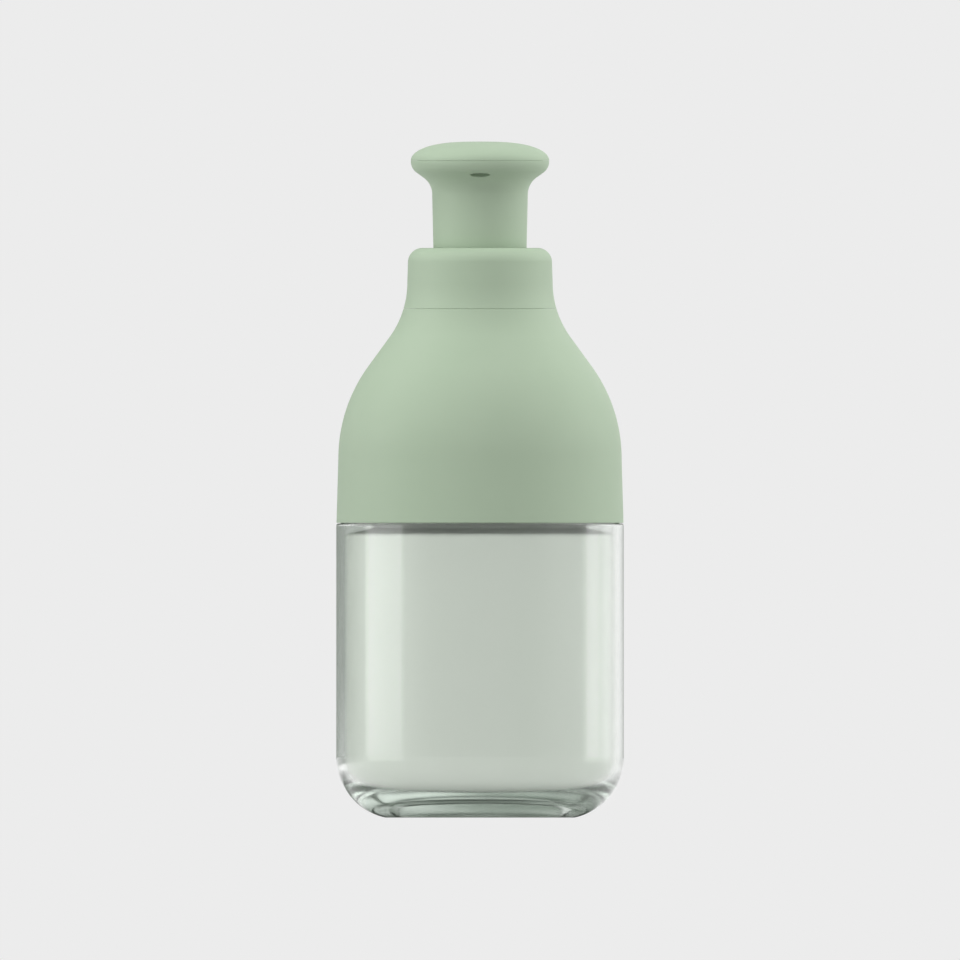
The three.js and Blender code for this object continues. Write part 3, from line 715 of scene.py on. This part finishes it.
spring = {"radius": 5.3, "wire": 0.5, "turns": 8, "endPitch": 1.5, "stroke": 11, "pressed": 11.25,
          "steps": 48, "wireSides": 12}
cageSeat = retainerBottom - spring["stroke"] - spring["pressed"]
spring["low"] = cageSeat + seat
spring["high"] = retainerBottom - seat


def returnSpring():
    s = spring
    middle = (s["high"] - s["low"] - 2 * s["wire"] - 2 * s["endPitch"]) / (s["turns"] - 2)
    circle = oval(s["wire"], s["wire"], s["wireSides"])
    sections = []
    for i in range(s["turns"] * s["steps"] + 1):
        turn = i / s["steps"]
        openTurns = min(max(turn - 1, 0), s["turns"] - 2)  # the first and last turns lie close
        height = s["low"] + s["wire"] + (turn - openTurns) * s["endPitch"] + openTurns * middle
        sections.append((2 * pi * turn, [(s["radius"] + r, height + z) for r, z in circle]))
    return wind("steel_return_spring", sections)


cage = {"wall": 0.9, "brim": 1.1, "roof": 1.4, "ceiling": 81.735,
        "windows": 4, "windowWidth": 3.4, "windowInner": 2.5, "windowOuter": 7, "windowTop": 81.73}
housing = {"chamber": 3.3, "chamberDepth": 3, "throat": 1.7, "throatLength": 1.2,
           "tail": 4.2, "tailLength": 8.2, "vent": 0.8, "ventInner": 4, "ventOuter": 12}
tube = {"radius": 2.9, "wall": 0.9, "gap": 2.5, "slant": 30, "cutHalf": 9, "cutDepth": 6}
cageBase = cageSeat - cage["brim"]
cylinderFloor = cageBase - seat
chamberFloor = cylinderFloor - housing["chamberDepth"]
throatTop = chamberFloor - (housing["chamber"] - housing["throat"])
socketTop = throatTop - housing["throatLength"]
tailBottom = socketTop - housing["tailLength"]


def ballCage():  # a hat over the inlet ball, whose brim is the spring's lower seat
    c = cage
    bore = housing["chamber"] + seat
    outer = bore + c["wall"]
    brim = cylinder["bore"] - slip
    top = c["ceiling"] + c["roof"]
    hole = housing["throat"]
    piece = pumpLathe("natural_ball_cage", [
        (bore, cageBase, fine), (brim, cageBase, crisp), (brim, cageSeat, crisp), (outer, cageSeat, crisp),
        (outer, top, soft), (hole, top, crisp), (hole, c["ceiling"], fine), (bore, c["ceiling"], fine)])
    plans = bars(c["windows"], c["windowInner"], c["windowOuter"], c["windowWidth"])
    return carve(piece, prism("windows", plans, cageSeat, c["windowTop"]))


def pumpHousing():
    h = housing
    cupOuter = cupBore + cup["wall"]
    bore = cylinder["bore"]
    outer = bore + cylinder["wall"]
    socket = tube["radius"] + seat
    piece = pumpLathe("natural_pump_housing", [
        (socket, tailBottom, crisp), (h["tail"], tailBottom, soft), (h["tail"], throatTop, wide),
        (outer, cylinderFloor, wide), (outer, cupFloor - cup["wall"], full), (cupOuter, cupFloor, full),
        (cupOuter, flangeBottom, soft), (flangeRadius, flangeBottom, crisp),
        (flangeRadius, flangeTop, soft), (cupBore, flangeTop, crisp), (cupBore, cupFloor, crisp),
        (bore, cupFloor, soft), (bore, cylinderFloor, soft), (h["chamber"], cylinderFloor, crisp),
        (h["chamber"], chamberFloor, crisp), (h["throat"], throatTop, crisp),
        (h["throat"], socketTop, fine), (socket, socketTop, fine)])
    vent = oval(h["vent"], h["vent"], sides["vent"])  # air vent under the cup
    place = Matrix.Translation((0, 0, cupFloor - 2 * cup["wall"])) @ Matrix.Rotation(-pi / 2, 4, "X")
    return carve(piece, prism("vent", [vent], h["ventInner"], h["ventOuter"], place))


def dipTube():
    t = tube
    bore = t["radius"] - t["wall"]
    bottom = flaskFloor + flask["wall"] + t["gap"]
    top = socketTop - seat
    piece = pumpLathe("natural_dip_tube", [(bore, bottom), (t["radius"], bottom),
                                           (t["radius"], top, crisp), (bore, top, crisp)])
    slant = radians(t["slant"])  # the lower end can't seal on the bottle's floor
    place = Matrix.Translation((0, 0, bottom + t["radius"] * tan(slant))) @ Matrix.Rotation(slant, 4, "Y")
    half = t["cutHalf"]
    square = [(-half, -half), (half, -half), (half, half), (-half, half)]
    return carve(piece, prism("slant", [square], -t["cutDepth"], 0, place))


balls = {"inlet_ball": {"height": 76.99, "radius": 2.5}, "outlet_ball": {"height": 144.47, "radius": 2}}
ballSteps = 40


def valveBall(node):
    height = balls[node]["height"]
    radius = balls[node]["radius"]
    curve = arc((0, height), radius, -90, 90, ballSteps)
    line = [(0, height - radius)] + curve[1:-1] + [(0, height + radius)]
    return lathe("steel_" + node, line, sides["ball"])


# pump head

head = {"sleeve": 11.3, "sleeveDraft": 0.35, "sleeveWall": 1.35, "overlap": 2.7, "show": 13.03,
        "flare": 5, "flareAngle": 54, "rim": 16.85, "rimBlend": 3.3, "rimBand": 0.1, "rimWall": 1.5,
        "parting": 159.852, "seam": 159.91, "dishDepth": 1.75, "floor": 2.8, "channel": 1.7,
        "postWall": 1.2, "socketDepth": 9.8}
sleeveBottom = collarTop - head["overlap"]
dish = head["rim"] - head["rimWall"]
dishFloor = head["parting"] - head["dishDepth"]


def headLine():
    h = head
    flareSpot = (h["sleeve"] + h["sleeveDraft"] + h["flare"], collarTop + h["show"])
    rimSpot = (h["rim"] - h["rimBlend"], h["parting"] - h["rimBand"])
    return ([(h["sleeve"], sleeveBottom, soft)] + arc(flareSpot, h["flare"], 180, 180 - h["flareAngle"])
            + arc(rimSpot, h["rimBlend"], -h["flareAngle"], 0) + [(h["rim"], h["seam"], fine)])


trough = {"half": 1.7, "front": 14.45, "span": 13, "depth": 3.4, "sink": 1.2, "top": 159, "steps": 16}


def troughPlan(inset):  # from the middle of the head out to the nozzle
    t = trough
    half = t["half"] - inset
    front = t["front"] - inset
    span = t["span"] - degrees(inset / t["front"])
    back = t["front"] - t["depth"] + inset
    return (arc((0, 0), half, 0, 180, t["steps"]) + [(-half, -back)]
            + arc((0, 0), front, 270 - span, 270 + span, t["steps"]) + [(half, -back)])


nozzle = {"reach": 14.65, "height": 156.47, "tilt": 54, "pocket": (2.7, 1.17), "insert": (2.67, 1.14),
          "slit": (2.4, 0.48), "slitDepth": 4, "depth": 1, "length": 6}


def nozzleBar(size, depth, tilt=nozzle["tilt"]):
    place = (Matrix.Translation((0, -nozzle["reach"], nozzle["height"]))
             @ Matrix.Rotation(radians(90 + tilt), 4, "X"))
    return prism("nozzle_bar", [oval(*size, sides["oval"])], -depth, nozzle["length"], place)


def actuator():
    h = head
    hollowRadius = h["sleeve"] - h["sleeveWall"]
    hollowTop = dishFloor - h["floor"]
    socket = stemSizes["radius"] + slip
    post = socket + h["postWall"]
    postBottom = collarTop + 2 * seat
    socketEnd = postBottom + h["socketDepth"]
    line = rounded([(hollowRadius, sleeveBottom, soft)] + headLine()
                   + [(dish, h["seam"], crisp), (dish, dishFloor, crisp), (h["channel"], dishFloor),
                      (h["channel"], socketEnd, fine), (socket, socketEnd, fine),
                      (socket, postBottom, crisp), (post, postBottom, crisp),
                      (post, hollowTop, full), (hollowRadius, hollowTop, full)])
    piece = lathe("sage_actuator", line, sides["body"])
    carve(piece, prism("trough", [troughPlan(0)], dishFloor - trough["sink"], trough["top"]))
    return carve(piece, nozzleBar(nozzle["pocket"], nozzle["depth"]))


def nozzleInsert():
    piece = nozzleBar(nozzle["insert"], nozzle["depth"] - seat)
    piece.name = "sage_nozzle_insert"
    line = rounded([(0, sleeveBottom)] + headLine() + [(0, head["seam"])])
    carve(piece, lathe("envelope", line, sides["body"]), "INTERSECT")
    return carve(piece, nozzleBar(nozzle["slit"], nozzle["slitDepth"], 0))  # level: a lens from the front


dome = {"lift": 0.15, "rise": 4.608, "power": 2.8, "skirt": 1.2, "skirtWall": 1.25, "ceiling": 2.4,
        "plugDepth": 0.5, "plugTop": 162.6, "steps": 64}


def headCap():
    d = dome
    rim = head["rim"]
    base = head["parting"] + d["lift"]
    edge = head["seam"] + seamGap
    skirt = dish - slip
    inner = skirt - d["skirtWall"]
    skirtFoot = head["parting"] - d["skirt"]
    ceiling = head["parting"] + d["ceiling"]
    turns = [pi / 2 * i / d["steps"] for i in range(d["steps"])]
    crown = [(rim * cos(t) ** (2 / d["power"]), base + d["rise"] * sin(t)) for t in turns]
    line = rounded([(0, ceiling), (inner, ceiling, soft), (inner, skirtFoot, crisp),
                    (skirt, skirtFoot, crisp), (skirt, edge, fine), (rim, edge, fine)]
                   + crown + [(0, base + d["rise"])])
    piece = lathe("sage_head_cap", line, sides["body"])
    plug = prism("plug", [troughPlan(slip)], dishFloor - d["plugDepth"], d["plugTop"])
    return carve(piece, plug, "UNION")


dress(outerShell(), "outer_shell", clear)
dress(innerBottle(), "inner_bottle", pale)
dress(shoulderCover(), "shoulder_cover", sage)
dress(collar(), "collar", sage)
dress(closureCap(), "closure_cap", natural)
dress(neckGasket(), "neck_gasket", foam)
dress(pumpHousing(), "pump_housing", natural)
dress(chaplet(), "chaplet", natural)
dress(stemWiper(), "stem_wiper", seal)
dress(ballCage(), "ball_cage", natural)
dress(dipTube(), "dip_tube", natural)
dress(stem(), "stem", natural)
dress(piston(), "piston", natural)
dress(pistonRetainer(), "piston_retainer", natural)
coil = dress(returnSpring(), "return_spring", steel)
spring["low"] * mm
1 - spring["stroke"] / (spring["high"] - spring["low"])
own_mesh(coil)
for node in balls:
    dress(valveBall(node), node, steel)
dress(actuator(), "actuator", sage)
dress(nozzleInsert(), "nozzle_insert", sage)
dress(headCap(), "head_cap", sage)
print("pieces made:", len(bodyOf))


# studio, in metres and degrees

studio = {"fill": 0.52, "pale": grey(0.839), "white": grey(1), "glossyBounces": 16, "bounces": 24}
cards = {  # greys that only the clear plastic shows, by their angle from straight behind and half widths
    "right": {"turn": 62, "core": 50, "reach": 80, "colour": grey(0.97)},
    "left": {"turn": -28, "core": 24, "reach": 52, "colour": (0.27, 0.3, 0.27, 1)},
}
hood = {"turn": 180, "core": 35, "reach": 65, "colour": grey(0.3)}  # dim camera side, for reflections alone


def card(shader, turn, core, reach, colour, behind):
    heading = shader.node("ShaderNodeTexCoord", output="Generated")
    middle = (sin(radians(turn)), cos(radians(turn)), 0)
    facing = shader.vector("DOT_PRODUCT", heading, middle, "Value")
    return shader.mix(shader.fade(facing, cos(radians(reach)), cos(radians(core))), behind, colour)


def world():
    sky = bpy.data.worlds.new("studio")
    bpy.context.scene.world = sky
    shader = Shader(sky)
    seen, glossy, through = shader.rays()
    around = card(shader, **cards["right"], behind=studio["white"])
    around = card(shader, **cards["left"], behind=around)
    hooded = card(shader, **hood, behind=around)
    mirrored = shader.mix(glossy - through, around, hooded)  # a ray bent by clear plastic is glossy too
    fill = shader.node("ShaderNodeBackground", {}, {"Color": studio["white"], "Strength": studio["fill"]})
    backdrop = shader.node("ShaderNodeBackground", {}, {"Color": studio["pale"], "Strength": 1})
    tent = shader.node("ShaderNodeBackground", {}, {"Color": mirrored})
    room = shader.node("ShaderNodeMixShader", {}, {0: seen, 1: fill, 2: backdrop})
    surface = shader.node("ShaderNodeMixShader", {}, {0: glossy + through, 1: room, 2: tent})
    shader.node("ShaderNodeOutputWorld", {}, {"Surface": surface})


ground = {"radius": 3, "level": -0.0001, "sides": 96, "cloud": 3, "lift": 0.5,
          "pale": tone(236, 236, 236), "grain": tone(233, 233, 233), "bounce": tone(190, 190, 190),
          "rough": (0.85, 0.95), "specular": 0.1}
paintedShadows = {  # painted shadows on the floor that only the clear plastic shows: a dark contact shadow under the bottle and a paler shadow behind it to the left
    "under": {"middle": (0, 0, 0), "core": 0.027, "reach": 0.037, "colour": (0.05, 0.06, 0.05, 1)},
    "behind": {"middle": (-0.03, 0.05, 0), "core": 0.012, "reach": 0.045, "colour": (0.18, 0.2, 0.18, 1)},
}


def floor():
    g = ground
    shape = bmesh.new()
    rim = oval(g["radius"], g["radius"], g["sides"])
    shape.faces.new([shape.verts.new((x, y, g["level"])) for x, y in rim])
    plate = finishMesh("floor", shape)
    material = bpy.data.materials.new("pale_floor")
    shader = Shader(material)
    cloud = shader.noise(g["cloud"])
    seen, glossy, through = shader.rays()
    paint = shader.mix(seen, g["bounce"], shader.mix(cloud, g["pale"], g["grain"]))
    matte = shader.node("ShaderNodeBsdfPrincipled", {}, {"Base Color": paint,
                                                         "Roughness": between(g["rough"], cloud),
                                                         "Specular IOR Level": g["specular"]})
    spot = shader.node("ShaderNodeNewGeometry", output="Position")
    mirrored = studio["white"]
    # the floor's glow for mirrored and bent rays gets the painted shadows, darker near each middle
    for paintedShadow in paintedShadows.values():
        away = shader.vector("DISTANCE", spot, paintedShadow["middle"], "Value")
        mirrored = shader.mix(shader.fade(away, paintedShadow["core"], paintedShadow["reach"]), paintedShadow["colour"], mirrored)
    glowWithPaintedShadows = shader.node("ShaderNodeEmission", {}, {"Color": mirrored, "Strength": 1})
    lifted = shader.node("ShaderNodeEmission", {}, {"Color": studio["pale"], "Strength": 1})
    shadowed = shader.node("ShaderNodeMixShader", {}, {0: seen * g["lift"], 1: matte, 2: lifted})
    surface = shader.node("ShaderNodeMixShader", {}, {0: glossy + through, 1: shadowed, 2: glowWithPaintedShadows})
    shader.node("ShaderNodeOutputMaterial", {}, {"Surface": surface})
    plate.data.materials.append(material)


softboxes = {  # angle from the camera's side, low and high edge, width, distance, radiance
    "left": {"turn": -84, "low": 0.0145, "high": 0.72, "width": 0.42, "away": 0.6, "level": 1.6},
    "right": {"turn": 111, "low": 0.002, "high": 0.8, "width": 0.38, "away": 0.6, "level": 0.75},
    "right_edge": {"turn": 101, "low": 0.002, "high": 0.8, "width": 0.16, "away": 0.59, "level": 0.85},
}
fillers = {  # softboxes that nothing mirrors; share is what they add to a white wall that faces them
    "overhead": {"turn": -4, "rise": 62, "away": 0.9, "size": 0.5, "share": 0.185},
    "side": {"turn": 105, "rise": 10, "away": 0.9, "size": 0.4, "share": 0.19},
}
fillerAim = 0.1  # height that the fillers point at


def hang(name, lamp, turn, rise, away, aim):
    light = bpy.data.objects.new(name, lamp)
    bpy.context.collection.objects.link(light)
    level = cos(radians(rise))
    side = Vector((sin(radians(turn)) * level, -cos(radians(turn)) * level, sin(radians(rise))))
    light.location = side * away + Vector((0, 0, aim))
    light.rotation_euler = side.to_track_quat("Z", "Y").to_euler()
    light.visible_camera = False
    return light


def softbox(name, turn, low, high, width, away, level):
    lamp = bpy.data.lights.new(name, "AREA")
    lamp.shape = "RECTANGLE"
    lamp.size = width
    lamp.size_y = high - low
    lamp.energy = level * pi * width * (high - low)
    hang(name, lamp, turn, 0, away, (low + high) / 2)


def filler(name, turn, rise, away, size, share):
    lamp = bpy.data.lights.new(name, "AREA")
    lamp.shape = "SQUARE"
    lamp.size = size
    lamp.energy = share / cos(radians(rise)) * (pi * away) ** 2
    light = hang(name, lamp, turn, rise, away, fillerAim)
    light.visible_glossy = False
    light.visible_transmission = False


photoView = {"across": 0.23376, "middle": 0.0822, "away": 1.5, "farthest": 20}


def camera():
    lens = bpy.data.cameras.new("camera")
    lens.type = "ORTHO"
    lens.ortho_scale = photoView["across"]
    lens.clip_end = photoView["farthest"]
    eye = bpy.data.objects.new("camera", lens)
    eye.location = (0, -photoView["away"], photoView["middle"])
    eye.rotation_euler = (pi / 2, 0, 0)
    bpy.context.collection.objects.link(eye)
    bpy.context.scene.camera = eye


world()
floor()
for name, sizes in softboxes.items():
    softbox(name + "_softbox", **sizes)
for name, sizes in fillers.items():
    filler(name + "_softbox", **sizes)
camera()
bpy.context.scene.cycles.glossy_bounces = studio["glossyBounces"]  # light runs round inside the thick base
bpy.context.scene.cycles.max_bounces = studio["bounces"]
bpy.context.scene.view_settings.view_transform = "Standard"
print("studio made")
